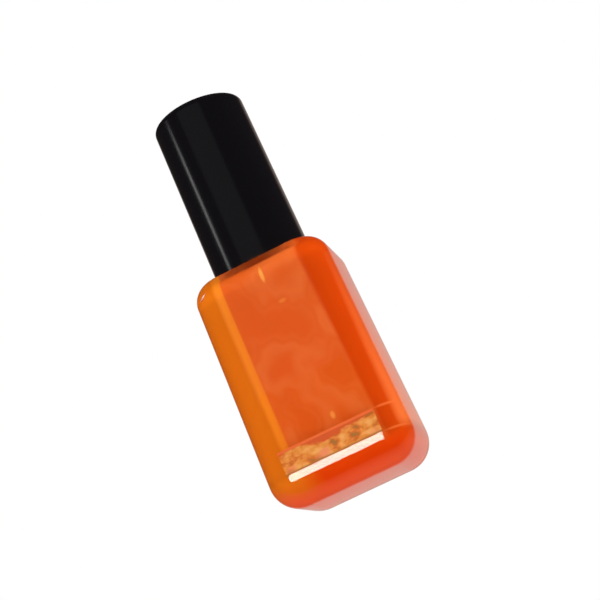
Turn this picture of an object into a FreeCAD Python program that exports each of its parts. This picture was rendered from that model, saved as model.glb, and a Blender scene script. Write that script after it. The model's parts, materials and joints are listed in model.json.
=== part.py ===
import FreeCAD, Part
import math
import os

import Sketcher

# Nail polish bottle: a tapered glass bottle with a thick clear base, its lacquer and mixing balls,
# a foil label, and a cap that carries the brush. Millimetres, +Z up, origin at the middle of the
# base, front of the bottle towards -Y.

DIMENSIONS = (
    ("base_width", 26.0, "glass body across the sides, at its foot"),
    ("base_depth", 26.0, "glass body front to back, at its foot"),
    ("body_height", 41.4, "glass body without its neck"),
    ("draft_angle", 1.1, "lean of all four walls, degrees"),
    ("corner_radius", 5.5, "upright corners at the foot"),
    ("shoulder_radius", 3.6, "edge round the top of the body"),
    ("heel_radius", 5.2, "edge round the bottom of the body"),
    ("wall_thickness", 2.0, "glass at the sides and the shoulder"),
    ("base_thickness", 4.0, "glass under the lacquer"),
    ("cavity_heel_radius", 3.0, "edge round the cavity floor"),
    ("cavity_shoulder_radius", 2.6, "edge round the cavity ceiling"),
    ("neck_height", 11.0, "neck above the shoulder"),
    ("neck_diameter", 11.2, "neck between the threads"),
    ("neck_bore", 7.2, "way in for the brush"),
    ("neck_embed", 4.0, "neck blank inside the shoulder"),
    ("rim_radius", 0.5, "rounded outer edge of the rim"),
    ("bead_diameter", 12.2, "bead at the foot of the neck"),
    ("bead_rise", 1.5, "underside of the bead above the shoulder"),
    ("bead_thickness", 1.4, "bead where it joins the neck"),
    ("bead_slope", 0.4, "height of each sloping flank of the bead"),
    ("thread_pitch", 2.117, "twelve threads to the inch"),
    ("thread_turns", 1.5, "length of both threads"),
    ("thread_start", 4.5, "first neck thread above the shoulder"),
    ("thread_crest_diameter", 12.2, "over the neck thread"),
    ("thread_root_width", 1.2, "ridge where it leaves its wall"),
    ("thread_crest_width", 0.5, "ridge along its top"),
    ("wall_bite", 0.2, "ridge or rib inside its own wall"),
    ("fit_clearance", 0.05, "gap between parts that move on each other"),
    ("cut_overshoot", 1.0, "cutting shape past the face it opens"),
    ("fill_height", 40.9, "lacquer surface, just inside the bore"),
    ("well_diameter", 4.6, "room kept for the brush in the lacquer"),
    ("well_gap", 0.2, "room kept below the bristles"),
    ("ball_diameter", 4.0, "steel mixing ball"),
    ("ball_offset", 6.0, "balls at rest, from the middle"),
    ("ball_gap", 0.03, "ball above the cavity floor"),
    ("trough_diameter", 4.6, "room kept for the balls in the lacquer"),
    ("trough_length", 21.0, "run of both balls, end to end"),
    ("label_width", 17.0, "foil label"),
    ("label_height", 4.0, "foil label"),
    ("label_thickness", 0.06, "foil label"),
    ("label_rise", 5.3, "lower edge of the label"),
    ("cap_gap", 0.2, "cap rim above the shoulder"),
    ("cap_length", 31.2, "cap, rim to top"),
    ("cap_rim_diameter", 17.3, "cap at its rim"),
    ("cap_top_diameter", 16.7, "cap at its top"),
    ("cap_edge_radius", 1.2, "edge round the top of the cap"),
    ("cap_rim_radius", 0.2, "edge round the rim of the cap"),
    ("cap_bore", 15.0, "seat of the threaded closure in the cap"),
    ("cap_seat_depth", 13.3, "length of that seat"),
    ("cap_upper_bore", 14.2, "hollow above the seat"),
    ("cap_top_thickness", 1.2, "top wall of the cap"),
    ("cap_rib_count", 6, "stiffening ribs in the hollow"),
    ("cap_rib_thickness", 0.8, "stiffening rib"),
    ("cap_rib_depth", 1.3, "stiffening rib, in from the wall"),
    ("closure_rise", 0.6, "skirt of the closure above the shoulder"),
    ("closure_diameter", 14.6, "closure between its grip ribs"),
    ("closure_bore", 13.1, "closure between its threads"),
    ("closure_thread_start", 5.6, "first closure thread above the shoulder"),
    ("closure_ceiling", 12.0, "underside of the closure top above the shoulder"),
    ("closure_top_thickness", 1.4, "top wall of the closure"),
    ("grip_rib_count", 16, "ribs that wedge the closure in the cap"),
    ("grip_rib_width", 0.9, "grip rib"),
    ("gasket_diameter", 12.6, "sealing gasket"),
    ("gasket_bore", 5.0, "hole in the gasket for the stem"),
    ("stem_seat_diameter", 3.8, "stem where it passes the closure top"),
    ("stem_head_diameter", 6.4, "button on top of the closure"),
    ("stem_head_height", 1.0, "button on top of the closure"),
    ("stem_catch_diameter", 4.4, "catch under the closure top"),
    ("stem_catch_height", 0.35, "straight part of the catch"),
    ("stem_catch_slope", 0.6, "sloping part of the catch"),
    ("stem_top_diameter", 3.5, "stem below the catch"),
    ("stem_tip_diameter", 3.2, "stem at the bristles"),
    ("stem_tip_height", 22.5, "lower end of the stem"),
    ("stem_tip_radius", 0.3, "edge of the lower end"),
    ("tuft_hole_diameter", 2.3, "hole that holds the bristles"),
    ("tuft_hole_depth", 4.5, "hole that holds the bristles"),
    ("tuft_belly_diameter", 3.6, "bristles at their widest"),
    ("tuft_belly_height", 13.0, "widest place of the bristles"),
    ("tuft_tip_height", 8.2, "end of the bristles"),
    ("tuft_tip_radius", 1.5, "rounded end of the bristles"),
    ("staple_width", 2.1, "staple across the hole"),
    ("staple_thickness", 0.3, "staple"),
    ("staple_height", 1.6, "staple along the stem"),
)

POINTS_PER_EDGE = 5
TOLERANCE = 0.0001

doc = FreeCAD.newDocument("nail_polish_bottle")


def make_sheet():
    """Every driving dimension, one row each: its name, its value and what it measures."""
    sheet = doc.addObject("Spreadsheet::Sheet", "dims")
    for row, (name, size, meaning) in enumerate(DIMENSIONS, start=1):
        sheet.set(f"A{row}", name)
        sheet.set(f"B{row}", str(size))
        sheet.set(f"C{row}", meaning)
        sheet.setAlias(f"B{row}", name)
    doc.recompute()
    return sheet


sheet = make_sheet()


def value(expression):
    """The number that an expression on the sheet gives."""
    return float(sheet.evalExpression(expression))


def drive(thing, **expressions):
    """Bind properties of an object to expressions on the sheet."""
    for name, expression in expressions.items():
        thing.setExpression(name, expression)


def place(thing, x="0", y="0", z="0"):
    """Bind the position of an object to expressions on the sheet."""
    for axis, expression in (("x", x), ("y", y), ("z", z)):
        thing.setExpression(f"Placement.Base.{axis}", expression)


def origin_feature(body, role):
    return next(item for item in body.Origin.OriginFeatures if item.Role == role)


# ---- sketches and the features made from them


def new_body(name):
    return doc.addObject("PartDesign::Body", name)


def new_sketch(body, name, role, height=None):
    """A sketch on one of the body's own origin planes, raised by an expression if one is given."""
    sketch = body.newObject("Sketcher::SketchObject", name)
    sketch.AttachmentSupport = (origin_feature(body, role), "")
    sketch.MapMode = "FlatFace"
    if height:
        sketch.setExpression("AttachmentOffset.Base.z", height)
    return sketch


def add_rule(sketch, label, expression, *constraint):
    """A named dimension of a sketch, driven by an expression on the sheet."""
    number = sketch.addConstraint(Sketcher.Constraint(*constraint, value(expression)))
    sketch.renameConstraint(number, label)
    sketch.setExpression(f"Constraints.{label}", expression)


def polygon(sketch, corners):
    """A closed outline whose corners (across, up) are all given by expressions."""
    points = [FreeCAD.Vector(value(across), value(up), 0) for across, up in corners]
    for start, end in zip(points, points[1:] + points[:1]):
        sketch.addGeometry(Part.LineSegment(start, end), False)
    count = len(corners)
    for side in range(count):
        sketch.addConstraint(Sketcher.Constraint("Coincident", side, 2, (side + 1) % count, 1))
    for side, (across, up) in enumerate(corners):
        if across == "0":
            sketch.addConstraint(Sketcher.Constraint("PointOnObject", side, 1, -2))
        else:
            add_rule(sketch, f"across_{side}", across, "DistanceX", -1, 1, side, 1)
        add_rule(sketch, f"up_{side}", up, "DistanceY", -1, 1, side, 1)


def rounded_rectangle(sketch, width, depth, radius):
    """A rectangle about the origin with four equal corner arcs."""
    right, back, bend = value(width) / 2, value(depth) / 2, value(radius)
    quarter = math.pi / 2
    centres = ((right - bend, back - bend), (bend - right, back - bend),
               (bend - right, bend - back), (right - bend, bend - back))
    up = FreeCAD.Vector(0, 0, 1)
    arcs = []
    for turn, (x, y) in enumerate(centres):
        circle = Part.Circle(FreeCAD.Vector(x, y, 0), up, bend)
        arcs.append(Part.ArcOfCircle(circle, quarter * turn, quarter * (turn + 1)))
    for arc in arcs:
        sketch.addGeometry(arc, False)
    for turn in range(4):
        side = Part.LineSegment(arcs[turn].EndPoint, arcs[(turn + 1) % 4].StartPoint)
        sketch.addGeometry(side, False)
    for turn in range(4):
        line = 4 + turn
        sketch.addConstraint(Sketcher.Constraint("Tangent", turn, 2, line, 1))
        sketch.addConstraint(Sketcher.Constraint("Tangent", line, 2, (turn + 1) % 4, 1))
        direction = "Vertical" if turn % 2 else "Horizontal"
        sketch.addConstraint(Sketcher.Constraint(direction, line))
    for turn in range(1, 4):
        sketch.addConstraint(Sketcher.Constraint("Equal", 0, turn))
    sketch.addConstraint(Sketcher.Constraint("Symmetric", 0, 3, 2, 3, -1, 1))
    add_rule(sketch, "corner", radius, "Radius", 0)
    add_rule(sketch, "width", width, "DistanceX", 1, 2, 3, 2)
    add_rule(sketch, "depth", depth, "DistanceY", 3, 1, 0, 2)


def revolve(body, name, corners, kind="PartDesign::Revolution"):
    """Turn an outline, drawn as (radius, height), about the upright axis."""
    sketch = new_sketch(body, f"{name}_outline", "XZ_Plane")
    polygon(sketch, corners)
    turned = body.newObject(kind, name)
    turned.Profile = sketch
    turned.ReferenceAxis = (sketch, ["V_Axis"])
    turned.Angle = 360
    doc.recompute()
    return turned


def edges_at(shape, *tests):
    """Names of the edges that lie wholly where every test of their points holds."""
    names = []
    for number, edge in enumerate(shape.Edges, start=1):
        points = edge.discretize(POINTS_PER_EDGE)
        if all(test(point) for test in tests for point in points):
            names.append(f"Edge{number}")
    return names


def at_height(expression):
    """True for a point at the height that an expression gives."""
    height = value(expression)
    return lambda point: abs(point.z - height) < TOLERANCE


def at_radius(expression):
    """True for a point at the distance from the axis that an expression gives."""
    radius = value(expression)
    return lambda point: abs((point.x ** 2 + point.y ** 2) ** 0.5 - radius) < TOLERANCE


def fillet(body, name, radius, *tests):
    """Round the edges of the body's tip that pass the tests."""
    tip = body.Tip
    edges = edges_at(tip.Shape, *tests)
    if not edges:
        raise RuntimeError(f"{name}: no edges to round")
    rounded = body.newObject("PartDesign::Fillet", name)
    rounded.Base = (tip, edges)
    rounded.setExpression("Radius", radius)
    doc.recompute()
    return rounded


def drafted_block(body, name, size, lift, rise):
    """A rounded rectangle raised into a block whose walls all lean inwards."""
    sketch = new_sketch(body, f"{name}_outline", "XY_Plane", lift)
    rounded_rectangle(sketch, *size)
    block = body.newObject("PartDesign::Pad", name)
    block.Profile = sketch
    drive(block, Length=rise, TaperAngle="-dims.draft_angle")
    doc.recompute()
    return block


def thread(body, name, wall, crest, start):
    """A screw ridge from a wall radius to a crest radius, started at a height."""
    half_root, half_crest = "dims.thread_root_width / 2", "dims.thread_crest_width / 2"
    sketch = new_sketch(body, f"{name}_outline", "XZ_Plane")
    polygon(sketch, ((wall, f"{start} - {half_root}"), (crest, f"{start} - {half_crest}"),
                     (crest, f"{start} + {half_crest}"), (wall, f"{start} + {half_root}")))
    ridge = body.newObject("PartDesign::AdditiveHelix", name)
    ridge.Profile = sketch
    ridge.ReferenceAxis = (sketch, ["V_Axis"])
    ridge.Mode = "pitch-height-angle"
    ridge.HasBeenEdited = True
    drive(ridge, Pitch="dims.thread_pitch", Height="dims.thread_pitch * dims.thread_turns")
    doc.recompute()
    return ridge


def polar_ribs(body, name, corners, count, lift, rise):
    """Equal upright ribs round the axis, from one flat outline."""
    sketch = new_sketch(body, f"{name}_outline", "XY_Plane", lift)
    polygon(sketch, corners)
    rib = body.newObject("PartDesign::Pad", name)
    rib.Profile = sketch
    rib.setExpression("Length", rise)
    doc.recompute()
    ring = body.newObject("PartDesign::PolarPattern", f"{name}_ring")
    ring.Originals = [rib]
    ring.Axis = (sketch, ["N_Axis"])
    ring.Angle = 360
    ring.setExpression("Occurrences", count)
    body.Tip = ring
    doc.recompute()
    return ring


def cut(name, base, tool):
    result = doc.addObject("Part::Cut", name)
    result.Base = base
    result.Tool = tool
    doc.recompute()
    return result


# ---- glass bottle


def make_bottle_blank():
    """Outside of the glass: drafted body, neck, bead and thread, all solid."""
    body = new_body("bottle_blank")
    drafted_block(body, "glass_body", ("dims.base_width", "dims.base_depth", "dims.corner_radius"),
                  "0", "dims.body_height")
    fillet(body, "shoulder", "dims.shoulder_radius", at_height("dims.body_height"))
    fillet(body, "heel", "dims.heel_radius", at_height("0"))
    neck, bead = "dims.neck_diameter / 2", "dims.bead_diameter / 2"
    foot, rim = "dims.body_height - dims.neck_embed", "dims.body_height + dims.neck_height"
    bead_low = "dims.body_height + dims.bead_rise"
    bead_high = f"{bead_low} + dims.bead_thickness"
    revolve(body, "neck", (
        ("0", foot), (neck, foot), (neck, bead_low),
        (bead, f"{bead_low} + dims.bead_slope"), (bead, f"{bead_high} - dims.bead_slope"),
        (neck, bead_high), (neck, rim), ("0", rim)))
    fillet(body, "rim_edge", "dims.rim_radius", at_height(rim), at_radius(neck))
    thread(body, "neck_thread", f"{neck} - dims.wall_bite", "dims.thread_crest_diameter / 2",
           "dims.body_height + dims.thread_start")
    return body


def make_cavity():
    """Inside of the glass: drafted hollow with rounded floor and ceiling, and the bore."""
    body = new_body("cavity")
    inset = "2 * (dims.wall_thickness + dims.base_thickness * tan(dims.draft_angle))"
    ceiling = "dims.body_height - dims.wall_thickness"
    drafted_block(body, "hollow", (f"dims.base_width - {inset}", f"dims.base_depth - {inset}",
                                   "dims.corner_radius - dims.wall_thickness"),
                  "dims.base_thickness", f"{ceiling} - dims.base_thickness")
    fillet(body, "hollow_ceiling", "dims.cavity_shoulder_radius", at_height(ceiling))
    fillet(body, "hollow_floor", "dims.cavity_heel_radius", at_height("dims.base_thickness"))
    bore, mouth = "dims.neck_bore / 2", "dims.body_height + dims.neck_height + dims.cut_overshoot"
    below = f"{ceiling} - dims.neck_embed"
    revolve(body, "bore", (("0", below), (bore, below), (bore, mouth), ("0", mouth)))
    return body


def make_glass_bottle(cavity):
    return cut("glass_bottle", make_bottle_blank(), cavity)


# ---- lacquer, mixing balls and label


def make_brush_well():
    """Room kept for the brush, with a rounded lower end."""
    body = new_body("brush_well")
    radius, top = "dims.well_diameter / 2", "dims.fill_height + dims.cut_overshoot"
    low = "dims.tuft_tip_height - dims.well_gap"
    revolve(body, "well", (("0", low), (radius, low), (radius, top), ("0", top)))
    return body


def make_lacquer(cavity):
    """Lacquer fills the hollow up into the bore, clear of the brush and of the rolling balls."""
    level = doc.addObject("Part::Box", "fill_space")
    drive(level, Length="dims.base_width", Width="dims.base_depth", Height="dims.fill_height")
    place(level, x="-dims.base_width / 2", y="-dims.base_depth / 2")
    fill = doc.addObject("Part::Common", "fill")
    fill.Base = cavity
    fill.Tool = level
    trough = doc.addObject("Part::Cylinder", "ball_trough")
    drive(trough, Radius="dims.trough_diameter / 2", Height="dims.trough_length")
    trough.Placement.Rotation = FreeCAD.Rotation(FreeCAD.Vector(0, 1, 0), 90)
    place(trough, x="-dims.trough_length / 2",
          z="dims.base_thickness + dims.ball_diameter / 2 + dims.ball_gap")
    doc.recompute()
    around_brush = cut("lacquer_round_brush", fill, make_brush_well())
    return cut("nail_lacquer", around_brush, trough)


def make_ball(name, side):
    ball = doc.addObject("Part::Sphere", name)
    drive(ball, Radius="dims.ball_diameter / 2")
    place(ball, x=f"{side} * dims.ball_offset",
          z="dims.base_thickness + dims.ball_diameter / 2 + dims.ball_gap")
    return ball


def make_label():
    """Foil band low on the front, lying on the leaning glass."""
    label = doc.addObject("Part::Box", "foil_label")
    drive(label, Length="dims.label_width", Width="dims.label_thickness", Height="dims.label_height")
    front = "dims.base_depth / 2 - dims.label_rise * tan(dims.draft_angle)"
    place(label, x="-dims.label_width / 2",
          y=f"-({front}) - dims.label_thickness / cos(dims.draft_angle)", z="dims.label_rise")
    lean = value("dims.draft_angle")
    label.Placement.Rotation = FreeCAD.Rotation(FreeCAD.Vector(1, 0, 0), -lean)
    return label


# ---- cap


def make_overcap():
    """Outer cap: a tapered shell, bored for the closure, with ribs in the hollow above it."""
    body = new_body("overcap")
    rim, top = "dims.cap_rim_diameter / 2", "dims.cap_top_diameter / 2"
    low = "dims.body_height + dims.cap_gap"
    high = f"{low} + dims.cap_length"
    seat = f"{low} + dims.cap_seat_depth"
    ceiling = f"{high} - dims.cap_top_thickness"
    bore, hollow = "dims.cap_bore / 2", "dims.cap_upper_bore / 2"
    revolve(body, "shell", (
        (bore, low), (rim, low), (top, high), ("0", high), ("0", ceiling),
        (hollow, ceiling), (hollow, seat), (bore, seat)))
    fillet(body, "top_edge", "dims.cap_edge_radius", at_height(high))
    fillet(body, "rim_edge", "dims.cap_rim_radius", at_height(low), at_radius(rim))
    half = "dims.cap_rib_thickness / 2"
    inner = f"{hollow} - dims.cap_rib_depth"
    outer = f"{hollow} + dims.wall_bite"
    polar_ribs(body, "rib", ((inner, f"-{half}"), (outer, f"-{half}"), (outer, half), (inner, half)),
               "dims.cap_rib_count", seat, f"{ceiling} - ({seat})")
    return body


def make_inner_cap():
    """Threaded closure: skirt, screw ridge inside, grip ribs outside, hole for the stem."""
    body = new_body("inner_cap")
    outside, inside = "dims.closure_diameter / 2", "dims.closure_bore / 2"
    hole = "dims.stem_seat_diameter / 2"
    low = "dims.body_height + dims.closure_rise"
    ceiling = "dims.body_height + dims.closure_ceiling"
    high = f"{ceiling} + dims.closure_top_thickness"
    revolve(body, "closure", (
        (inside, low), (outside, low), (outside, high), (hole, high), (hole, ceiling),
        (inside, ceiling)))
    thread(body, "closure_thread", f"{inside} + dims.wall_bite",
           "dims.thread_crest_diameter / 2 + dims.fit_clearance",
           "dims.body_height + dims.closure_thread_start")
    half = "dims.grip_rib_width / 2"
    inner, outer = f"{outside} - dims.wall_bite", "dims.cap_bore / 2 - dims.fit_clearance / 2"
    polar_ribs(body, "grip_rib", ((inner, f"-{half}"), (outer, f"-{half}"), (outer, half),
                                  (inner, half)),
               "dims.grip_rib_count", low, f"{high} - ({low})")
    return body


def make_gasket():
    """Soft ring between the rim of the neck and the top of the closure."""
    body = new_body("sealing_gasket")
    outside, hole = "dims.gasket_diameter / 2", "dims.gasket_bore / 2"
    low = "dims.body_height + dims.neck_height + dims.fit_clearance"
    high = "dims.body_height + dims.closure_ceiling - dims.fit_clearance"
    revolve(body, "ring", ((hole, low), (outside, low), (outside, high), (hole, high)))
    return body


# ---- brush


def make_brush_stem():
    """Rod with a button above the closure, a catch below it and a hole for the bristles."""
    body = new_body("brush_stem")
    under = "dims.body_height + dims.closure_ceiling"
    over = f"{under} + dims.closure_top_thickness"
    head, seat = "dims.stem_head_diameter / 2", "dims.stem_seat_diameter / 2"
    catch = "dims.stem_catch_diameter / 2"
    catch_low = f"{under} - dims.stem_catch_height"
    neck = f"{catch_low} - dims.stem_catch_slope"
    tip, hole = "dims.stem_tip_diameter / 2", "dims.tuft_hole_diameter / 2"
    low = "dims.stem_tip_height"
    hole_top = f"{low} + dims.tuft_hole_depth"
    revolve(body, "rod", (
        ("0", f"{over} + dims.stem_head_height"), (head, f"{over} + dims.stem_head_height"),
        (head, over), (seat, over), (seat, under), (catch, under), (catch, catch_low),
        ("dims.stem_top_diameter / 2", neck), (tip, low), (hole, low), (hole, hole_top),
        ("0", hole_top)))
    fillet(body, "tip_edge", "dims.stem_tip_radius", at_height(low), at_radius(tip))
    return body


def make_staple():
    """Flat staple that holds the folded bristles at the top of their hole."""
    staple = doc.addObject("Part::Box", "bristle_staple")
    drive(staple, Length="dims.staple_width", Width="dims.staple_thickness",
          Height="dims.staple_height")
    place(staple, x="-dims.staple_width / 2", y="-dims.staple_thickness / 2",
          z="dims.stem_tip_height + dims.tuft_hole_depth - dims.staple_height")
    return staple


def make_bristles(staple):
    """Tuft of bristles, one closed form: round in the hole, widening, with a rounded end."""
    body = new_body("tuft")
    hole, belly = "dims.tuft_hole_diameter / 2", "dims.tuft_belly_diameter / 2"
    top = "dims.stem_tip_height + dims.tuft_hole_depth"
    low = "dims.tuft_tip_height"
    revolve(body, "tuft_form", (
        ("0", top), (hole, top), (hole, "dims.stem_tip_height"),
        (belly, "dims.tuft_belly_height"), (f"{belly} - dims.fit_clearance", low), ("0", low)))
    fillet(body, "tuft_tip", "dims.tuft_tip_radius", at_height(low))
    return cut("brush_bristles", body, staple)


# ---- the whole object


def make_nodes():
    """Every separate piece, by the name of its node."""
    cavity = make_cavity()
    staple = make_staple()
    pieces = {
        "glass_bottle": make_glass_bottle(cavity),
        "nail_lacquer": make_lacquer(cavity),
        "mixing_ball_left": make_ball("mixing_ball_left", -1),
        "mixing_ball_right": make_ball("mixing_ball_right", 1),
        "foil_label": make_label(),
        "overcap": make_overcap(),
        "inner_cap": make_inner_cap(),
        "sealing_gasket": make_gasket(),
        "brush_stem": make_brush_stem(),
        "bristle_staple": staple,
        "brush_bristles": make_bristles(staple),
    }
    for name, piece in pieces.items():
        piece.Label = name
    return pieces


def check_document():
    doc.recompute()
    for thing in doc.Objects:
        if "Invalid" in thing.State or "Error" in thing.State:
            raise RuntimeError(f"{thing.Label} failed: {thing.State}")


def write_parts(pieces):
    os.makedirs("parts", exist_ok=True)
    for name, piece in pieces.items():
        shape = piece.Shape
        if shape.isNull() or not shape.isValid() or len(shape.Solids) != 1:
            raise RuntimeError(f"{name}: not one valid solid")
        box = shape.BoundBox
        print(f"{name}: {shape.Volume:.1f} mm3, x {box.XMin:.2f}..{box.XMax:.2f}, "
              f"y {box.YMin:.2f}..{box.YMax:.2f}, z {box.ZMin:.2f}..{box.ZMax:.2f}")
        shape.exportStep(os.path.join("parts", f"{name}.step"))


nodes = make_nodes()
check_document()
write_parts(nodes)
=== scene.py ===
"""Nail polish bottle: glass, lacquer, foil label, cap and brush, with a small studio round it."""

import json
import math
import random

import bmesh
import bpy
from mathutils import Matrix, Vector


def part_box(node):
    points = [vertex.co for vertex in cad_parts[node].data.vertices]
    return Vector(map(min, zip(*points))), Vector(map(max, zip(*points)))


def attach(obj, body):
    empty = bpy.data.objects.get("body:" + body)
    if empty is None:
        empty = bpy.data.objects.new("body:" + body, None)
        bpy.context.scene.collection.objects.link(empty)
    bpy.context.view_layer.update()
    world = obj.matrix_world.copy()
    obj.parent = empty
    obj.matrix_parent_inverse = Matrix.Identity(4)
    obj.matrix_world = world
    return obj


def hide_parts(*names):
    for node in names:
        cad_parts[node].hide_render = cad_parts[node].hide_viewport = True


bl_info = {
    "name": "Nail Polish Bottle",
    "version": (1, 0, 0),
    "blender": (4, 5, 0),
    "location": "View3D > Sidebar > Nail Polish",
    "description": "Finishes a glass nail polish bottle with its lacquer, label, cap and brush",
    "category": "Add Mesh",
}

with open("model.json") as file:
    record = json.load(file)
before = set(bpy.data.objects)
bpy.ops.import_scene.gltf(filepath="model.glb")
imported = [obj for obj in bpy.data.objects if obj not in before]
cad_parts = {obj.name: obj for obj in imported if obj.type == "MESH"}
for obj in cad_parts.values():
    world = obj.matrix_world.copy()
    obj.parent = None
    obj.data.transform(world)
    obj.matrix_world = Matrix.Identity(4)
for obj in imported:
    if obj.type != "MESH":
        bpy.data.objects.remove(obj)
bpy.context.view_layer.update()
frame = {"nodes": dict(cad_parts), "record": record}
MM = 0.001
CORNER_STEPS = 16
EDGE_STEPS = 12
ROUND_STEPS = 96
SHARP_ANGLE = math.radians(32)
HEEL_LOSS = 0.1 * MM

# The neck: how deep it starts inside the body, its bead and its rim.
NECK_SINK = 3.0 * MM
BEAD_UP, BEAD_TALL, BEAD_SLOPE = 1.5 * MM, 1.4 * MM, 0.4 * MM
RIM, RIM_CUT = 0.5 * MM, 0.15 * MM

# Start and end of each change of tone, in millimetres: up the glass (its uneven base, then its painted
# glow), then across and up the lacquer, where the tones are painted light and shade.
UNEVEN_BASE, PAINTED_GLOW_BASE = (0.2, 1.2), (0.8, 4.5)
PANEL_LEFT, PAINTED_SHADE_SIDE, FAR_RIGHT = (-6.9, -6.4), (8.5, 9.1), (10.2, 10.9)
FLOOR_LEFT, FLOOR_REAR, FLOOR_TOP = (-7.5, -3.5), (-6.5, -4.0), (4.3, 5.6)
PAINTED_SHADE_LEAN = 0.04

# The painted light strip beside the left corner, as shares of the lacquer's width.
STRIP_EDGE, STRIP_START, STRIP_END, STRIP_FADED = 0.125, 0.155, 0.19, 0.205

# Painted highlights and painted glow in the lacquer: tone, middle and half size in millimetres, strength.
MARKS = (("painted_highlight", (0.65, 37.6), (0.4, 1.5), 1.0), ("painted_highlight", (2.1, 11.3), (0.45, 0.75), 0.7),
         ("painted_highlight", (2.15, 32.1), (0.8, 0.4), 0.35), ("painted_glow", (9.9, 9.5), (1.6, 0.25), 0.8),
         ("painted_glow", (9.9, 5.5), (1.6, 0.22), 0.7))
MARK_FRONT, MARK_DEEP = -11.0, 8.0

# What the world gives: in a dark room gloss sees little, and at the back a bright, rosy backdrop.
ROOM_LEVEL, DARK_LEVEL = 0.75, 0.03
BACKDROP_LEVELS, HORIZON = (0.62, 0.6), (-0.1, 0.1)
BACKDROP_EDGE = (0.78, 0.93)
BACKDROP_TONE = (1.0, 0.78, 0.70)

# The foil and the bristles.
FOIL_COLUMNS, FOIL_ROWS, FOIL_GAP = 96, 24, 0.02 * MM
GOLDEN_ANGLE = math.pi * (3.0 - math.sqrt(5.0))
TIP_DOME, TIP_SCATTER, SIDE_SCATTER = 1.6 * MM, 0.35 * MM, 0.04 * MM

# What the lights face, and the width of film that the lens is given for.
BOTTLE_MIDDLE, CAP_MIDDLE = (0.0, 0.0, 0.035), (0.0, 0.0, 0.055)
SENSOR_WIDTH = 36.0

nodes = frame["nodes"]


# ---- settings


def colour(name, description, default):
    return bpy.props.FloatVectorProperty(
        name=name, description=description, default=default, subtype="COLOR", min=0.0, max=1.0)


def length(name, description, default):
    return bpy.props.FloatProperty(
        name=name, description=description, default=default, unit="LENGTH", min=0.0, precision=5)


def amount(name, description, default, most=1.0):
    return bpy.props.FloatProperty(
        name=name, description=description, default=default, min=0.0, max=most)


def angle(name, description, degrees):
    return bpy.props.FloatProperty(
        name=name, description=description, default=math.radians(degrees), subtype="ANGLE")


class GlassSettings(bpy.types.PropertyGroup):
    draft: angle("Draft", "Lean of the four walls", 1.1)
    corner: length("Corner radius", "Upright corners", 0.0055)
    heel: length("Heel radius", "Edge round the base", 0.0052)
    shoulder: length("Shoulder radius", "Edge round the top of the body", 0.0036)
    wall: length("Wall", "Glass at the sides and the shoulder", 0.002)
    hollow_heel: length("Hollow heel radius", "Edge round the floor of the hollow", 0.003)
    hollow_shoulder: length("Hollow shoulder radius", "Edge round the ceiling of the hollow", 0.0026)
    body_height: length("Body height", "Glass below the neck", 0.0414)
    neck: length("Neck radius", "Neck above and below its bead", 0.0056)
    bore: length("Bore radius", "Way in for the brush", 0.0036)
    bead: length("Bead radius", "Bead at the foot of the neck", 0.0061)
    tint: colour("Tint", "Colour of the clear glass", (0.99, 0.985, 0.98))
    # Painted glow: the lacquer's light coming through the thick base, painted as a pink tint of the glass.
    painted_glow: colour("Base tint", "Lacquer colour that spreads into the thick base", (1.0, 0.66, 0.58))
    ior: amount("IOR", "How strongly the glass bends light", 1.5, 3.0)
    ripple: amount("Ripple", "Faint waviness of pressed glass", 0.04)
    pebble: amount("Pebble", "Extra unevenness under the base", 2.5, 10.0)


class LacquerSettings(bpy.types.PropertyGroup):
    # Painted light: the lit strip and the yellower left side stand in for light falling from the left.
    painted_light_strip: colour("Lit strip", "Lacquer beside the left corner", (0.93, 0.255, 0.016))
    edge: colour("Left side", "Lacquer at the far left", (0.74, 0.165, 0.006))
    middle: colour("Middle", "Lacquer behind the flat front", (0.775, 0.118, 0.012))
    warm: colour("Swirls", "Lighter swirls in the lacquer", (0.82, 0.16, 0.028))
    # Painted shade: the darker red of the right side, away from the light.
    painted_shade: colour("Deep side", "Lacquer where light goes deepest", (0.66, 0.062, 0.002))
    # Painted light: the coral glow at the far right stands in for light at the rounded right edge.
    painted_glow: colour("Right side", "Lacquer at the far right", (0.88, 0.19, 0.04))
    # Painted light and shade on the floor of the hollow, seen through the thick base: deep red in the
    # middle, lighter at the left, a pink glow at the rear.
    floor: colour("Floor", "Lacquer on the floor of the hollow", (0.88, 0.075, 0.002))
    painted_glow_floor_rear: colour("Floor at the rear", "Lacquer on the floor behind the front edge", (1.0, 0.17, 0.06))
    painted_lit_floor_left: colour("Floor at the left", "Lacquer on the floor at the left", (0.88, 0.21, 0.01))
    # Painted highlights: small bright marks in the lacquer.
    painted_highlight: colour("Glint", "Small bright marks in the lacquer", (1.0, 0.40, 0.07))
    wetting: length("Wetting", "How far the lacquer laps onto the glass", 0.00003)
    brush_room: length("Room for the brush", "Gap kept round the bristles", 0.0005)
    ball_room: length("Room for the balls", "Gap kept round the mixing balls", 0.00002)


class LabelSettings(bpy.types.PropertyGroup):
    gold: colour("Gold", "Bright foil", (0.84, 0.27, 0.035))
    straw: colour("Straw", "Palest foil", (0.92, 0.39, 0.09))
    amber: colour("Amber", "Warm patches in the foil", (0.70, 0.14, 0.014))
    # Olive serves the dull foil spots and the painted shadow along the foil's lower edge.
    olive_and_shadow: colour("Olive", "Dull spots in the foil", (0.40, 0.15, 0.02))
    blush: colour("Blush", "Rosy patches in the foil", (0.90, 0.26, 0.10))
    bare: colour("Bare", "Where the foil is worn through", (0.72, 0.09, 0.012))
    rim: colour("Rim", "Raised frame of the foil", (0.90, 0.15, 0.028))
    frame_width: length("Frame", "Raised frame along the top and the ends", 0.00035)
    relief: length("Relief", "Height of the raised frame", 0.00003)
    thickness: length("Thickness", "The foil", 0.00003)


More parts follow.
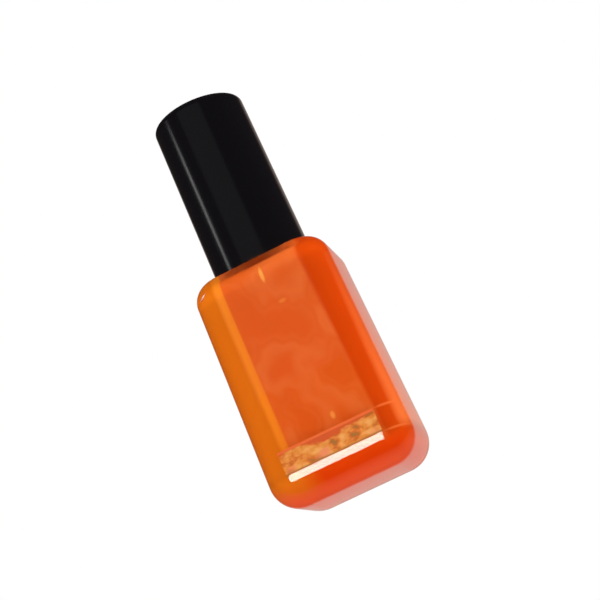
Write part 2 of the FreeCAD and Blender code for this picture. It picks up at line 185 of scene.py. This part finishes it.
class CapSettings(bpy.types.PropertyGroup):
    black: colour("Black", "Outer cap", (0.004, 0.0036, 0.005))
    polish: amount("Roughness", "Roughness of the outer cap", 0.15)
    closure: colour("Closure", "Threaded closure and brush stem", (0.012, 0.012, 0.013))
    liner: colour("Liner", "Foam sealing gasket", (0.82, 0.81, 0.77))


class BrushSettings(bpy.types.PropertyGroup):
    filaments: bpy.props.IntProperty(
        name="Filaments", description="Bristles in the tuft", default=210, min=40, max=600)
    thickness: length("Thickness", "One bristle", 0.00009)
    root: length("Root radius", "Bundle where it is stapled", 0.00085)
    spread: length("Spread", "Bundle at its tips", 0.0017)
    wet: length("Wet length", "Bristles that carry lacquer", 0.0125)
    nylon: colour("Nylon", "Dry bristles", (0.05, 0.045, 0.04))


class StudioSettings(bpy.types.PropertyGroup):
    distance: length("Distance", "Camera to the point it looks at", 0.24)
    aim_right: length("Aim to the right", "Point looked at, right of the middle", 0.0033)
    aim_height: length("Aim height", "Height of the point looked at", 0.03374)
    azimuth: angle("Azimuth", "Camera round to the right of the front", 7.92)
    elevation: angle("Elevation", "How far the camera looks upwards", 14.42)
    roll: angle("Roll", "Clockwise tilt of the camera", 24.23)
    lens: amount("Lens", "Focal length in millimetres on a 36 mm sensor", 83.66, 300.0)


# ---- small helpers


def deselect():
    if bpy.context.mode != "OBJECT":
        bpy.ops.object.mode_set(mode="OBJECT")
    bpy.ops.object.select_all(action="DESELECT")


def activate(thing):
    deselect()
    thing.select_set(True)
    bpy.context.view_layer.objects.active = thing


def select_faces(piece, wanted):
    """In edit mode, select just the faces that pass a test."""
    bpy.ops.mesh.select_mode(type="FACE")
    bpy.ops.mesh.select_all(action="DESELECT")
    shape = bmesh.from_edit_mesh(piece.data)
    for face in shape.faces:
        face.select_set(wanted(face))
    bmesh.update_edit_mesh(piece.data)


def select_edges(piece, wanted):
    """In edit mode, select just the edges whose two ends pass a test."""
    bpy.ops.mesh.select_mode(type="EDGE")
    bpy.ops.mesh.select_all(action="DESELECT")
    shape = bmesh.from_edit_mesh(piece.data)
    for edge in shape.edges:
        edge.select_set(wanted(edge.verts[0].co, edge.verts[1].co))
    bmesh.update_edit_mesh(piece.data)


def settle(piece):
    """Put a piece's place into its mesh and leave its object at the origin."""
    activate(piece)
    bpy.ops.object.transform_apply(location=True, rotation=True, scale=True)


def modify(piece, kind, **settings):
    """Give a piece a modifier with these settings and apply it."""
    modifier = piece.modifiers.new(kind.lower(), kind)
    for key, setting in settings.items():
        setattr(modifier, key, setting)
    bpy.ops.object.modifier_apply(modifier=modifier.name)


def stand_for(piece, node, body):
    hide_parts(node)
    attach(piece, body)


def set_material(thing, material):
    thing.data.materials.clear()
    thing.data.materials.append(material)


def opaque(source):
    """A colour of three values gets its alpha; a number or a socket stays as it is."""
    if isinstance(source, (int, float, bpy.types.NodeSocket)) or len(source) == 4:
        return source
    return (*source, 1.0)


class NodeTree:
    """The node tree of a material or a world, under construction."""

    def __init__(self, owner):
        owner.use_nodes = True
        self.tree = owner.node_tree

    def add(self, kind, settings=None, **inputs):
        """A node with properties from settings, and inputs given as numbers or as sockets."""
        node = self.tree.nodes.new(kind)
        for key, setting in (settings or {}).items():
            setattr(node, key, setting)
        for key, source in inputs.items():
            self.feed(node.inputs[key.replace("_", " ")], source)
        return node

    def feed(self, socket, source):
        if isinstance(source, bpy.types.NodeSocket):
            self.tree.links.new(source, socket)
        else:
            socket.default_value = source

    def fill(self, node, *sources):
        """Feed a node's inputs in order, leaving out those given as None."""
        for socket, source in zip(node.inputs, sources):
            if source is not None:
                self.feed(socket, source)
        return node

    def maths(self, operation, *sources, clamp=False):
        node = self.add("ShaderNodeMath", {"operation": operation, "use_clamp": clamp})
        return self.fill(node, *sources).outputs[0]

    def grey(self, source, low, high, start=0.3, end=0.7):
        """Spread a pattern between two levels."""
        return self.add("ShaderNodeMapRange", Value=source, From_Min=start, From_Max=end,
                        To_Min=low, To_Max=high).outputs[0]

    def mix(self, share, first, second):
        node = self.add("ShaderNodeMix", {"data_type": "RGBA"})
        for number, source in ((0, share), (6, first), (7, second)):
            self.feed(node.inputs[number], opaque(source))
        return node.outputs[2]


class Shader(NodeTree):
    """A node material: its Principled shader, its output and the object's own coordinates."""

    def __init__(self, name):
        self.material = bpy.data.materials.new(name)
        super().__init__(self.material)
        self.principled = self.tree.nodes["Principled BSDF"]
        self.output = self.tree.nodes["Material Output"]
        self.place = self.add("ShaderNodeTexCoord").outputs["Object"]

    def shade(self, **inputs):
        """Set the Principled shader's own inputs."""
        for key, source in inputs.items():
            self.feed(self.principled.inputs[key.replace("_", " ")], opaque(source))

    def give_way(self, share, tone):
        """Let a transparent shader of one tone take over where share is one."""
        clear = self.add("ShaderNodeBsdfTransparent", Color=opaque(tone))
        mixed = self.add("ShaderNodeMixShader")
        self.fill(mixed, share, self.principled.outputs[0], clear.outputs[0])
        self.feed(self.output.inputs["Surface"], mixed.outputs[0])

    def noise(self, scale, detail=3.0, stretch=(1.0, 1.0, 1.0), rough=0.5):
        place = self.add("ShaderNodeMapping", Vector=self.place, Scale=stretch).outputs[0]
        return self.add("ShaderNodeTexNoise", Vector=place, Scale=scale, Detail=detail,
                        Roughness=rough).outputs["Fac"]

    def ramp(self, source, *stops):
        """A colour ramp with stops of (place, colour)."""
        node = self.add("ShaderNodeValToRGB", Fac=source)
        marks = node.color_ramp.elements
        while len(marks) < len(stops):
            marks.new(1.0)
        for mark, (position, tone) in zip(marks, stops):
            mark.position = position
            mark.color = opaque(tone)
        return node.outputs["Color"]

    def mark(self, place, reach, strength):
        """A soft oval mark on the front, with its middle and half size in millimetres."""
        (x, z), (wide, tall) = place, reach
        spread = self.add("ShaderNodeMapping", Vector=self.place,
                          Location=(-x / wide, -MARK_FRONT / MARK_DEEP, -z / tall),
                          Scale=(1.0 / (wide * MM), 1.0 / (MARK_DEEP * MM), 1.0 / (tall * MM)))
        away = self.add("ShaderNodeVectorMath", {"operation": "LENGTH"})
        self.feed(away.inputs[0], spread.outputs[0])
        return self.grey(away.outputs["Value"], strength, 0.0, 0.5, 1.1)

    def axis(self, name):
        return self.add("ShaderNodeSeparateXYZ", Vector=self.place).outputs[name]

    def step(self, source, ends):
        """Zero to one between two places, given in millimetres."""
        return self.grey(source, 0.0, 1.0, ends[0] * MM, ends[1] * MM)

    def bump(self, height, strength, distance):
        return self.add("ShaderNodeBump", Height=height, Strength=strength,
                        Distance=distance).outputs["Normal"]


# ---- glass


def glass_material(look):
    """Clear glass with faint waves, uneven towards its base with a painted pink glow there, and clear to
    shadows.
    """
    shader = Shader("clear_glass")
    waves = shader.noise(90.0, detail=1.0, stretch=(1.0, 1.0, 0.4))
    height = shader.axis("Z")
    underside = shader.grey(shader.step(height, UNEVEN_BASE), look.pebble, 0.0, 0.0, 1.0)
    ripple = shader.maths("MULTIPLY_ADD", shader.noise(260.0, detail=2.0), underside, waves)
    # Painted glow: towards the base the glass takes the lacquer's pink, which stands in for the lacquer's
    # light coming through the thick glass.
    painted_glow_tint = shader.mix(shader.step(height, PAINTED_GLOW_BASE), look.painted_glow, look.tint)
    shader.shade(Base_Color=painted_glow_tint, Roughness=0.0, IOR=look.ior,
                 Transmission_Weight=1.0, Normal=shader.bump(ripple, look.ripple, 0.2 * MM))
    shader.give_way(shader.add("ShaderNodeLightPath").outputs["Is Shadow Ray"], look.tint)
    return shader.material


def drafted_block(name, half, low, high, draft, corner, heel, shoulder):
    """A square block, half wide at the foot, with leaning walls and every edge rounded."""
    tall = high - low
    deselect()
    bpy.ops.mesh.primitive_cube_add(size=1.0, location=(0.0, 0.0, (low + high) / 2),
                                    scale=(2 * half, 2 * half, tall))
    block = bpy.context.active_object
    block.name = name
    settle(block)
    bpy.ops.object.mode_set(mode="EDIT")
    narrow = 1.0 - tall * math.tan(draft) / half
    select_faces(block, lambda face: face.normal.z > 0.9)
    bpy.ops.transform.resize(value=(narrow, narrow, 1.0), center_override=(0.0, 0.0, high))
    select_edges(block, lambda a, b: abs(a.z - b.z) > tall / 2)
    bpy.ops.mesh.bevel(offset=corner, segments=CORNER_STEPS, affect="EDGES")
    for side, radius in ((-1, heel), (1, shoulder)):
        select_faces(block, lambda face: face.normal.z * side > 0.9)
        bpy.ops.mesh.region_to_loop()
        bpy.ops.mesh.bevel(offset=radius, segments=EDGE_STEPS, affect="EDGES")
    bpy.ops.object.mode_set(mode="OBJECT")
    return block


def turned_solid(name, rings, sides=ROUND_STEPS):
    """A solid of revolution built ring by ring, each ring a radius and a height."""
    (radius, height), *rest = rings
    deselect()
    bpy.ops.mesh.primitive_circle_add(vertices=sides, radius=radius, fill_type="NGON",
                                      location=(0.0, 0.0, height))
    solid = bpy.context.active_object
    solid.name = name
    settle(solid)
    bpy.ops.object.mode_set(mode="EDIT")
    bpy.ops.mesh.select_all(action="SELECT")
    for next_radius, next_height in rest:
        bpy.ops.mesh.extrude_region_move(
            TRANSFORM_OT_translate={"value": (0.0, 0.0, next_height - height)})
        grow = next_radius / radius
        bpy.ops.transform.resize(value=(grow, grow, 1.0), center_override=(0.0, 0.0, next_height))
        radius, height = next_radius, next_height
    bpy.ops.mesh.select_all(action="SELECT")
    bpy.ops.mesh.normals_make_consistent(inside=False)
    bpy.ops.object.mode_set(mode="OBJECT")
    return solid


def combine(piece, tool, operation):
    """Join or cut a solid with another, which is used up."""
    activate(piece)
    modify(piece, "BOOLEAN", object=tool, operation=operation, solver="EXACT")
    bpy.data.objects.remove(tool)


def hollow_form(name, look, grow, top):
    """The room inside the bottle, grown by a hair where it is for the lacquer, up to a height."""
    low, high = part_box("glass_bottle")
    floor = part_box("nail_lacquer")[0].z
    inset = look.wall + (floor - low.z) * math.tan(look.draft) - grow
    room = drafted_block(name, (high.x - low.x) / 2 + HEEL_LOSS - inset, floor - grow,
                         look.body_height - look.wall + grow, look.draft,
                         look.corner - look.wall + grow, look.hollow_heel, look.hollow_shoulder)
    bore = turned_solid("bore", ((look.bore + grow, look.body_height - NECK_SINK),
                                 (look.bore + grow, top)))
    combine(room, bore, "UNION")
    return room


def make_glass(look):
    """The bottle: drafted body, neck with a bead, hollow and bore. The neck has no screw thread."""
    low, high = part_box("glass_bottle")
    body = look.body_height
    glass = drafted_block("glass_shell", (high.x - low.x) / 2 + HEEL_LOSS, low.z, body, look.draft,
                          look.corner, look.heel, look.shoulder)
    bead_low = body + BEAD_UP
    bead_high = bead_low + BEAD_TALL
    neck = turned_solid("neck", (
        (look.neck, body - NECK_SINK), (look.neck, bead_low), (look.bead, bead_low + BEAD_SLOPE),
        (look.bead, bead_high - BEAD_SLOPE), (look.neck, bead_high), (look.neck, high.z - RIM),
        (look.neck - RIM_CUT, high.z - RIM_CUT), (look.neck - RIM, high.z)))
    combine(glass, neck, "UNION")
    combine(glass, hollow_form("hollow", look, 0.0, high.z + 1.0 * MM), "DIFFERENCE")
    activate(glass)
    bpy.ops.object.shade_smooth_by_angle(angle=SHARP_ANGLE)
    return glass


class NAILPOLISH_OT_glass(bpy.types.Operator):
    """Press the clear glass bottle, with its thick base, plain neck and bead"""

    bl_idname = "nail_polish.glass"
    bl_label = "Glass Bottle"

    def execute(self, context):
        look = context.scene.nail_polish_glass
        glass = make_glass(look)
        set_material(glass, glass_material(look))
        stand_for(glass, "glass_bottle", "bottle")
        return {"FINISHED"}


# ---- lacquer and mixing balls


def lacquer_material(look):
    """Orange lacquer, swirled, with painted light and shade: a lit left side, a shaded right, a glowing far
    right, floor tones and highlights.
    """
    shader = Shader("orange_lacquer")
    x, z = shader.axis("X"), shader.axis("Z")
    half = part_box("nail_lacquer")[1].x
    across = shader.grey(x, 0.0, 1.0, -half, half)
    # Painted light: yellower at the far left, with a bright strip beside the left corner.
    left = shader.ramp(across, (0.0, look.edge), (STRIP_EDGE, look.edge), (STRIP_START, look.painted_light_strip),
                       (STRIP_END, look.painted_light_strip), (STRIP_FADED, look.middle))
    veins = shader.noise(120.0, detail=2.0, stretch=(1.0, 1.0, 0.75), rough=0.45)
    swirls = shader.ramp(veins, (0.44, (0.0,) * 3), (0.49, (0.4,) * 3), (0.52, (0.15,) * 3),
                         (0.58, (1.0,) * 3), (0.64, (0.7,) * 3), (0.70, (0.0,) * 3))
    swirled = shader.mix(swirls, left, look.warm)
    panel = shader.mix(shader.step(x, PANEL_LEFT), left, swirled)
    # Painted shade: darker red on the right, its edge leaning with height.
    lean = shader.maths("MULTIPLY_ADD", z, PAINTED_SHADE_LEAN, x)
    right = shader.mix(shader.step(lean, PAINTED_SHADE_SIDE), panel, look.painted_shade)
    # Painted light: a coral glow at the far right.
    sides = shader.mix(shader.step(x, FAR_RIGHT), right, look.painted_glow)
    # Painted light and shade on the floor: lighter at the left, a pink glow at the rear.
    floor = shader.mix(shader.step(x, FLOOR_LEFT), look.painted_lit_floor_left, look.floor)
    floor = shader.mix(shader.step(shader.axis("Y"), FLOOR_REAR), floor, look.painted_glow_floor_rear)
    marked = shader.mix(shader.step(z, FLOOR_TOP), floor, sides)
    # Painted highlights and painted glow, laid on as soft marks.
    for tone, place, reach, strength in MARKS:
        marked = shader.mix(shader.mark(place, reach, strength), marked, getattr(look, tone))
    shader.shade(Base_Color=marked, Roughness=0.5, Specular_IOR_Level=0.0)
    return shader.material


def steel_material():
    shader = Shader("ball_steel")
    scratches = shader.noise(2500.0, detail=4.0)
    shader.shade(Base_Color=(0.62, 0.61, 0.6), Metallic=1.0,
                 Roughness=shader.grey(scratches, 0.12, 0.3))
    return shader.material


def ball_trough(radius, reach, height):
    """Room for the rolling balls: a bar with round ends that lies along X."""
    bends = [math.radians(step) for step in range(6, 91, 7)]
    rings = [(radius * math.sin(bend), -reach - radius * math.cos(bend)) for bend in bends]
    rings += [(wide, -along) for wide, along in reversed(rings)]
    trough = turned_solid("ball_trough", rings)
    trough.rotation_euler = (0.0, math.pi / 2, 0.0)
    trough.location = (0.0, 0.0, height)
    settle(trough)
    return trough


def make_lacquer(look, glass):
    """Lacquer that fills the hollow and wets the glass, clear of the brush and of the balls."""
    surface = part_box("nail_lacquer")[1].z
    fill = hollow_form("lacquer_fill", glass, look.wetting, surface)
    tuft_low, tuft_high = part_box("brush_bristles")
    reach = tuft_high.x + look.brush_room
    well = turned_solid("brush_well", ((reach, tuft_low.z - 0.2 * MM), (reach, surface + 1.0 * MM)))
    combine(fill, well, "DIFFERENCE")
    ball_low, ball_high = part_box("mixing_ball_left")
    radius = (ball_high.z - ball_low.z) / 2
    travel = next(joint for joint in frame["record"]["behaviour"]["joints"]
                  if joint["name"] == "ball_left_roll")
    outermost = -((ball_low.x + ball_high.x) / 2 + travel["range_m"][0])
    combine(fill, ball_trough(radius + look.ball_room, outermost, ball_low.z + radius), "DIFFERENCE")
    activate(fill)
    bpy.ops.object.shade_smooth_by_angle(angle=SHARP_ANGLE)
    return fill


class NAILPOLISH_OT_lacquer(bpy.types.Operator):
    """Fill the bottle with lacquer that wets the glass, and finish the mixing balls"""

    bl_idname = "nail_polish.lacquer"
    bl_label = "Lacquer and Mixing Balls"

    def execute(self, context):
        look = context.scene.nail_polish_lacquer
        piece = make_lacquer(look, context.scene.nail_polish_glass)
        set_material(piece, lacquer_material(look))
        stand_for(piece, "nail_lacquer", "bottle")
        steel = steel_material()
        for node in ("mixing_ball_left", "mixing_ball_right"):
            set_material(nodes[node], steel)
        return {"FINISHED"}


# ---- label


def foil_material(look):
    """Mottled gold foil, worn through towards the top, with a rosy raised frame and a painted shadow along
    its lower edge.
    """
    shader = Shader("gold_foil")
    low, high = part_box("foil_label")
    z = shader.axis("Z")
    flakes = shader.noise(620.0, detail=4.0, stretch=(0.6, 1.0, 1.0), rough=0.55)
    gold = shader.ramp(flakes, (0.34, look.olive_and_shadow), (0.42, look.amber),
                       (0.50, look.gold), (0.60, look.straw))
    patches = shader.noise(330.0, detail=2.0, stretch=(0.5, 1.0, 1.0))
    rosy = shader.mix(shader.grey(patches, 0.0, 0.9, 0.55, 0.62), gold, look.blush)
    worn = shader.noise(260.0, detail=4.0, stretch=(0.6, 1.0, 1.0), rough=0.6)
    wear = shader.maths("ADD", worn, shader.grey(z, -0.35, 0.30, low.z, high.z))
    rubbed = shader.mix(shader.grey(wear, 0.0, 1.0, 0.60, 0.68), rosy, look.bare)
    top = high.z - look.frame_width
    framed = shader.mix(shader.grey(z, 0.0, 1.0, top - 0.1 * MM, top), rubbed, look.rim)
    # Painted shadow: the olive tone darkens the foil's lower edge.
    shadow = shader.grey(z, 1.0, 0.0, low.z + 0.1 * MM, low.z + 0.4 * MM)
    edged = shader.mix(shadow, framed, look.olive_and_shadow)
    shader.shade(Base_Color=edged, Metallic=0.0, Roughness=0.5, Specular_IOR_Level=0.06,
                 Normal=shader.bump(flakes, 0.3, 0.1 * MM))
    return shader.material


def make_foil(look):
    """A thin band wrapped onto the glass, with a raised frame along its top and its ends."""
    low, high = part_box("foil_label")
    deselect()
    bpy.ops.mesh.primitive_grid_add(
        x_subdivisions=FOIL_COLUMNS, y_subdivisions=FOIL_ROWS, size=1.0, rotation=(math.pi / 2, 0.0, 0.0),
        location=(0.0, low.y - 1.0 * MM, (low.z + high.z) / 2))
    foil = bpy.context.active_object
    foil.name = "foil_band"
    foil.scale = (high.x - low.x, high.z - low.z, 1.0)
    settle(foil)
    modify(foil, "SHRINKWRAP", wrap_method="PROJECT", use_project_y=True, use_positive_direction=True,
           use_negative_direction=False, target=bpy.data.objects["glass_shell"], offset=FOIL_GAP)
    bpy.ops.object.mode_set(mode="EDIT")
    ends, top = high.x - look.frame_width, high.z - look.frame_width
    select_faces(foil, lambda face: abs(face.calc_center_median().x) > ends
                 or face.calc_center_median().z > top)
    bpy.ops.mesh.extrude_region_move(TRANSFORM_OT_translate={"value": (0.0, -look.relief, 0.0)})
    bpy.ops.object.mode_set(mode="OBJECT")
    modify(foil, "SOLIDIFY", thickness=look.thickness, offset=1.0)
    return foil


class NAILPOLISH_OT_label(bpy.types.Operator):
    """Lay the mottled foil label on the front of the glass"""

    bl_idname = "nail_polish.label"
    bl_label = "Foil Label"

    def execute(self, context):
        look = context.scene.nail_polish_label
        piece = make_foil(look)
        set_material(piece, foil_material(look))
        stand_for(piece, "foil_label", "bottle")
        return {"FINISHED"}


# ---- cap


def gloss_black_material(look):
    shader = Shader("gloss_black")
    flow = shader.noise(60.0, detail=2.0, stretch=(1.0, 1.0, 0.3))
    shader.shade(Base_Color=look.black, Roughness=shader.grey(flow, look.polish, look.polish * 1.4),
                 IOR=1.5, Normal=shader.bump(flow, 0.05, 0.05 * MM))
    return shader.material


def satin_black_material(look):
    shader = Shader("satin_black")
    grain = shader.noise(3000.0, detail=3.0)
    shader.shade(Base_Color=look.closure, Roughness=shader.grey(grain, 0.35, 0.5),
                 Normal=shader.bump(grain, 0.1, 0.02 * MM))
    return shader.material


def liner_material(look):
    shader = Shader("foam_liner")
    cells = shader.noise(4000.0, detail=2.0)
    shader.shade(Base_Color=look.liner, Roughness=0.8,
                 Normal=shader.bump(cells, 0.4, 0.03 * MM))
    return shader.material


class NAILPOLISH_OT_cap(bpy.types.Operator):
    """Finish the outer cap, its threaded closure and the sealing gasket"""

    bl_idname = "nail_polish.cap"
    bl_label = "Cap"

    def execute(self, context):
        look = context.scene.nail_polish_cap
        set_material(nodes["overcap"], gloss_black_material(look))
        set_material(nodes["inner_cap"], satin_black_material(look))
        set_material(nodes["sealing_gasket"], liner_material(look))
        return {"FINISHED"}


# ---- brush


def bristle_material(look, lacquer):
    """Dark nylon, orange with lacquer towards the tips."""
    shader = Shader("bristle_nylon")
    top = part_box("brush_bristles")[0].z + look.wet
    grain = shader.noise(1500.0, detail=2.0, stretch=(1.0, 1.0, 0.1))
    nylon = shader.mix(shader.grey(grain, 0.0, 0.6), look.nylon, (0.02, 0.018, 0.016))
    coat = shader.mix(shader.grey(shader.axis("Z"), 1.0, 0.0, top - 2.0 * MM, top + 1.0 * MM), nylon,
                      lacquer.middle)
    shader.shade(Base_Color=coat, Roughness=0.25, IOR=1.5)
    return shader.material


def make_tuft(look):
    """Bristles laid in a spiral, each a drawn-out thread, shorter towards the outside."""
    low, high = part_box("brush_bristles")
    reach = high.z - low.z
    thick = look.thickness
    seed = turned_solid("bristle_tuft", (
        (thick, 0.0), (thick, -0.5 * reach), (0.85 * thick, -0.85 * reach),
        (0.5 * thick, -0.98 * reach), (0.2 * thick, -reach)), sides=6)
    chance = random.Random(11)
    copies = []
    for number in range(look.filaments):
        share = math.sqrt((number + 0.5) / look.filaments)
        turn = number * GOLDEN_ANGLE
        outward = Vector((math.cos(turn), math.sin(turn), 0.0))
        start = outward * share * look.root + Vector((0.0, 0.0, high.z))
        rise = (1.0 - math.sqrt(1.0 - 0.98 * share ** 2)) * TIP_DOME + chance.random() * TIP_SCATTER
        drift = Vector((chance.uniform(-1, 1), chance.uniform(-1, 1), 0.0)) * SIDE_SCATTER
        end = outward * share * look.spread + drift + Vector((0.0, 0.0, low.z + rise))
        along = end - start
        thread = seed.copy()
        thread.data = seed.data.copy()
        bpy.context.collection.objects.link(thread)
        thread.matrix_world = (Matrix.Translation(start)
                               @ Vector((0.0, 0.0, -1.0)).rotation_difference(along).to_matrix().to_4x4()
                               @ Matrix.Diagonal((1.0, 1.0, along.length / reach, 1.0)))
        copies.append(thread)
    bpy.data.objects.remove(seed)
    activate(copies[0])
    for thread in copies:
        thread.select_set(True)
    bpy.ops.object.join()
    tuft = bpy.context.active_object
    tuft.name = "bristle_tuft"
    settle(tuft)
    bpy.ops.object.shade_smooth_by_angle(angle=math.radians(70))
    return tuft


class NAILPOLISH_OT_brush(bpy.types.Operator):
    """Finish the stem and staple and plant the bristles one by one"""

    bl_idname = "nail_polish.brush"
    bl_label = "Brush"

    def execute(self, context):
        look = context.scene.nail_polish_brush
        set_material(nodes["brush_stem"], bpy.data.materials["satin_black"])
        set_material(nodes["bristle_staple"], bpy.data.materials["ball_steel"])
        tuft = make_tuft(look)
        set_material(tuft, bristle_material(look, context.scene.nail_polish_lacquer))
        stand_for(tuft, "brush_bristles", "cap")
        return {"FINISHED"}


# ---- studio


def area_light(name, place, target, size, power, mirrored=False, tone=(1.0, 1.0, 1.0)):
    """A rectangular softbox that faces target; a mirrored one shows in gloss and nowhere else."""
    aim = (Vector(target) - Vector(place)).to_track_quat("-Z", "Y")
    deselect()
    bpy.ops.object.light_add(type="AREA", location=place, rotation=aim.to_euler())
    light = bpy.context.active_object
    light.name = name
    light.data.shape = "RECTANGLE"
    light.data.size, light.data.size_y = size
    light.data.energy = power
    light.data.color = tone
    light.visible_camera = False
    light.visible_glossy = mirrored
    light.visible_diffuse = not mirrored
    light.visible_transmission = not mirrored
    return light


def make_world():
    """White all round; gloss sees a dark room, and a bright, rosy backdrop behind the bottle."""
    world = bpy.data.worlds.new("studio_white")
    sky = NodeTree(world)
    direction = sky.add("ShaderNodeSeparateXYZ",
                        Vector=sky.add("ShaderNodeTexCoord").outputs["Generated"]).outputs
    backdrop = sky.grey(direction["Z"], *BACKDROP_LEVELS, *HORIZON)
    gloss = sky.grey(direction["Y"], DARK_LEVEL, backdrop, *BACKDROP_EDGE)
    path = sky.add("ShaderNodeLightPath").outputs
    strength = ROOM_LEVEL
    for ray, level in (("Is Glossy Ray", gloss), ("Is Transmission Ray", 1.0),
                       ("Is Camera Ray", 1.0)):
        strength = sky.fill(sky.add("ShaderNodeMix"), path[ray], None, strength, level).outputs[0]
    mirrored = sky.maths("SUBTRACT", path["Is Glossy Ray"], path["Is Transmission Ray"], clamp=True)
    background = sky.tree.nodes["Background"]
    sky.fill(background, sky.mix(mirrored, (1.0, 1.0, 1.0), BACKDROP_TONE), strength)
    bpy.context.scene.world = world


def make_floor():
    """A pale floor a hair below the glass, which shows from above and is open from below."""
    deselect()
    bpy.ops.mesh.primitive_plane_add(size=4.0, location=(0.0, 0.0, -0.05 * MM))
    floor = bpy.context.active_object
    floor.name = "studio_floor"
    shader = Shader("pale_floor")
    shader.shade(Base_Color=(0.9, 0.9, 0.9), Roughness=0.9, Specular_IOR_Level=0.1)
    shader.give_way(shader.add("ShaderNodeNewGeometry").outputs["Backfacing"], (1.0, 1.0, 1.0))
    set_material(floor, shader.material)
    for ray in ("diffuse", "glossy", "transmission", "shadow"):
        setattr(floor, f"visible_{ray}", False)


def make_camera(view):
    turn = Matrix.Rotation(view.azimuth, 3, "Z") @ Matrix.Rotation(math.pi / 2 + view.elevation, 3, "X")
    ahead = turn @ Vector((0.0, 0.0, -1.0))
    aim = Vector((view.aim_right, 0.0, view.aim_height))
    turn = turn @ Matrix.Rotation(-view.roll, 3, "Z")
    deselect()
    bpy.ops.object.camera_add(location=aim - ahead * view.distance, rotation=turn.to_euler())
    camera = bpy.context.active_object
    camera.data.sensor_width = SENSOR_WIDTH
    camera.data.lens = view.lens
    camera.data.clip_start = 0.005
    bpy.context.scene.camera = camera


class NAILPOLISH_OT_studio(bpy.types.Operator):
    """Set the floor, the lights and the camera"""

    bl_idname = "nail_polish.studio"
    bl_label = "Studio"

    def execute(self, context):
        make_world()
        make_floor()
        make_camera(context.scene.nail_polish_studio)
        area_light("overhead", (0.0, 0.0, 0.7), BOTTLE_MIDDLE, (0.8, 0.8), 2.0)
        area_light("key", (-0.45, -0.4, 0.35), BOTTLE_MIDDLE, (0.3, 0.3), 0.65)
        area_light("fill", (0.5, 0.12, 0.2), BOTTLE_MIDDLE, (0.3, 0.3), 1.0)
        streak = area_light("cap_streak", (-0.474, -0.158, 0.232), CAP_MIDDLE, (0.05, 0.085), 0.045,
                            mirrored=True)
        shone_on = bpy.data.collections.new("cap_only")
        shone_on.objects.link(nodes["overcap"])
        streak.light_linking.receiver_collection = shone_on
        area_light("cap_band", (-0.045, -0.43, 0.22), CAP_MIDDLE, (0.47, 0.2), 0.035, mirrored=True)
        area_light("heel_bar", (-0.0053, -0.041, 0.003), (-0.0053, 0.0, 0.003), (0.0396, 0.0118),
                   0.028, mirrored=True, tone=(1.0, 0.99, 0.86))
        bpy.context.scene.view_settings.view_transform = "Standard"
        return {"FINISHED"}


# ---- panel and registration


class NAILPOLISH_PT_bottle(bpy.types.Panel):
    """Sidebar panel that lists the pieces"""

    bl_idname = "NAILPOLISH_PT_bottle"
    bl_label = "Nail Polish Bottle"
    bl_space_type = "VIEW_3D"
    bl_region_type = "UI"
    bl_category = "Nail Polish"

    def draw(self, context):
        for operator in OPERATORS:
            self.layout.operator(operator.bl_idname)


SETTINGS = {
    "nail_polish_glass": GlassSettings,
    "nail_polish_lacquer": LacquerSettings,
    "nail_polish_label": LabelSettings,
    "nail_polish_cap": CapSettings,
    "nail_polish_brush": BrushSettings,
    "nail_polish_studio": StudioSettings,
}
OPERATORS = (NAILPOLISH_OT_glass, NAILPOLISH_OT_lacquer, NAILPOLISH_OT_label, NAILPOLISH_OT_cap,
             NAILPOLISH_OT_brush, NAILPOLISH_OT_studio)


def register():
    for group in (*SETTINGS.values(), *OPERATORS, NAILPOLISH_PT_bottle):
        bpy.utils.register_class(group)
    for name, group in SETTINGS.items():
        setattr(bpy.types.Scene, name, bpy.props.PointerProperty(type=group))


def unregister():
    for name in SETTINGS:
        delattr(bpy.types.Scene, name)
    for group in (NAILPOLISH_PT_bottle, *reversed(OPERATORS), *reversed(SETTINGS.values())):
        bpy.utils.unregister_class(group)


def main():
    register()
    bpy.ops.nail_polish.glass()
    bpy.ops.nail_polish.lacquer()
    bpy.ops.nail_polish.label()
    bpy.ops.nail_polish.cap()
    bpy.ops.nail_polish.brush()
    bpy.ops.nail_polish.studio()


if __name__ == "__main__":
    main()
